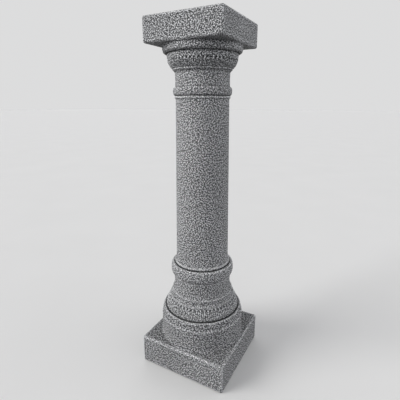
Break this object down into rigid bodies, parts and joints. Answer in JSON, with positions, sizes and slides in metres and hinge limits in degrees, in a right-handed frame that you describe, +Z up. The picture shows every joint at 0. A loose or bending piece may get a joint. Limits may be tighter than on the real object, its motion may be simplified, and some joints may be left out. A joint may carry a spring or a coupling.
{
  "type": "garden column",
  "caption": "Square-plinthed garden column with turned base and capital, carved tongue bands, plain tapering shaft and square abacus, in speckled grey granite look.",
  "frame": {"origin": "centre of the underside of the plinth, on the ground", "axes": "+Z up along the column's axis; X and Y square to the sides of plinth and abacus; the picture shows the -Y and +X sides"},
  "size_m": [0.222, 0.222, 0.813],
  "materials": {
    "granite_look_resin": "matte, fine light and dark granite speckle moulded all over"
  },
  "bodies": {
    "root": {"column": "granite_look_resin"}
  },
  "joints": []
}
